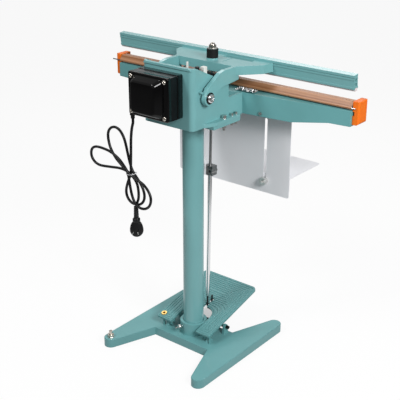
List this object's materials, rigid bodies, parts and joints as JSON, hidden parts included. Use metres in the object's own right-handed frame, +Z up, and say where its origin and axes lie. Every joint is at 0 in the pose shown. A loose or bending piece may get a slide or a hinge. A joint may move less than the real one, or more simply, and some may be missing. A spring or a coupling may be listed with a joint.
{
  "type": "impulse heat sealer",
  "caption": "Foot-operated impulse heat sealer: long jaws on a column stand, with pedal, pull rod, rear transformer, front shelf and hanging power cord.",
  "frame": {"origin": "on the floor at the column's axis", "axes": "+Z up, +X along the jaws, -Y towards the operator, +Y towards the transformer"},
  "size_m": [0.8614, 0.5538, 0.887],
  "materials": {
    "teal_paint": "gloss enamel",
    "jaw_paint": "gloss enamel",
    "white_sheet": "satin",
    "zinc": "zinc plated",
    "dark_steel": "dark",
    "chrome_rod": "polished",
    "black_rubber": "matte",
    "silicone": "soft",
    "jaw_metal": "extruded",
    "glass_cloth": "woven",
    "ptfe_cloth": "glossy coated",
    "resistance_alloy": "rolled",
    "brass": "machined",
    "orange_plastic": "moulded",
    "black_paint": "gloss",
    "laminations": "varnished",
    "black_plastic": "moulded",
    "white_nylon": "moulded",
    "wire_pvc": "insulated",
    "cord_pvc": "flexible",
    "panel_alu": "brushed",
    "red_plastic": "moulded",
    "lamp_plastic": "translucent"
  },
  "bodies": {
    "stand": {"base_casting": "teal_paint", "column_tube": "teal_paint", "column_head_plate": "teal_paint", "collar_wing_bolt": "zinc", "levelling_bolt": "zinc", "foot_pads": "black_rubber", "pedal_stop_bar": "black_rubber", "pedal_rest_pads": "black_rubber", "rod_bush": "white_nylon", "return_spring": "zinc", "head_casting": "teal_paint", "head_bolts": "zinc", "jaw_beam": "teal_paint", "beam_bolts": "zinc", "lower_jaw_bar": "jaw_metal", "insulation_strip": "glass_cloth", "heating_element": "resistance_alloy", "ptfe_tape": "ptfe_cloth", "tape_clamp": "zinc", "element_terminals": "brass", "end_cap_left": "orange_plastic", "end_cap_right": "orange_plastic", "pivot_bolts": "zinc", "pivot_washers": "black_plastic", "transformer_core": "laminations", "transformer_cover": "black_paint", "transformer_screws": "zinc", "terminal_strip": "black_plastic", "wire_connector": "white_nylon", "head_wires": "wire_pvc", "microswitch": "black_plastic", "control_panel": "panel_alu", "timer_unit": "black_plastic", "indicator_lamp": "lamp_plastic", "back_plate": "white_sheet", "plate_bolts": "zinc", "cord_gland": "black_plastic", "power_cord": "cord_pvc", "cord_hank": "cord_pvc", "power_plug": "black_plastic"},
    "press": {"press_frame": "teal_paint", "upper_jaw_bar": "jaw_paint", "bar_screws": "zinc", "silicone_strip": "silicone"},
    "pull_rod": {"rod_hook": "dark_steel", "lower_rod": "chrome_rod", "rod_clamp": "zinc", "clamp_screw": "dark_steel", "upper_rod": "dark_steel", "rubber_sleeve": "black_rubber", "sleeve_washer": "zinc", "rod_nuts": "chrome_rod"},
    "pedal": {"pedal_plate": "teal_paint", "pedal_pins": "zinc", "pedal_insert": "brass"},
    "shelf": {"shelf_plate": "white_sheet", "shelf_clamps": "zinc"},
    "knob": {"timer_knob": "black_plastic"},
    "rocker": {"power_rocker": "red_plastic"},
    "switch_lever": {"microswitch_lever": "zinc"}
  },
  "joints": [
    {"name": "press_hinge", "type": "hinge", "parent": "stand", "child": "press", "pos_m": [0, 0.059, 0.781], "axis": [1, 0, 0], "range_deg": [0, 6.8], "stiffness_Nm_per_rad": 40, "springref_deg": -22.92},
    {"name": "rod_slide", "type": "slide", "parent": "stand", "child": "pull_rod", "axis": [0, 0.0231, -0.9997], "range_m": [0, 0.01514], "deforming": ["return_spring"]},
    {"name": "pedal_hinge", "type": "hinge", "parent": "stand", "child": "pedal", "pos_m": [0, 0.022, 0.038], "axis": [1, 0, 0], "range_deg": [0, 8.31]},
    {"name": "lever_hinge", "type": "hinge", "parent": "stand", "child": "switch_lever", "pos_m": [0.073, -0.022, 0.803], "axis": [1, 0, 0], "range_deg": [0, 21.77]},
    {"name": "shelf_slide", "type": "slide", "parent": "stand", "child": "shelf", "axis": [0, 0, 1], "range_m": [0, 0.165]},
    {"name": "timer_turn", "type": "hinge", "parent": "stand", "child": "knob", "pos_m": [-0.045, -0.184, 0.7345], "axis": [0, -1, 0], "range_deg": [0, 280]},
    {"name": "rocker_tilt", "type": "hinge", "parent": "stand", "child": "rocker", "pos_m": [0.022, -0.18, 0.7345], "axis": [1, 0, 0], "range_deg": [0, 12]}
  ],
  "couplings": [
    {"joint": "rod_slide", "follows": "press_hinge", "m_per_rad": 0.1275},
    {"joint": "pedal_hinge", "follows": "press_hinge", "ratio": 1.22},
    {"joint": "lever_hinge", "follows": "press_hinge", "ratio": 3.2}
  ]
}
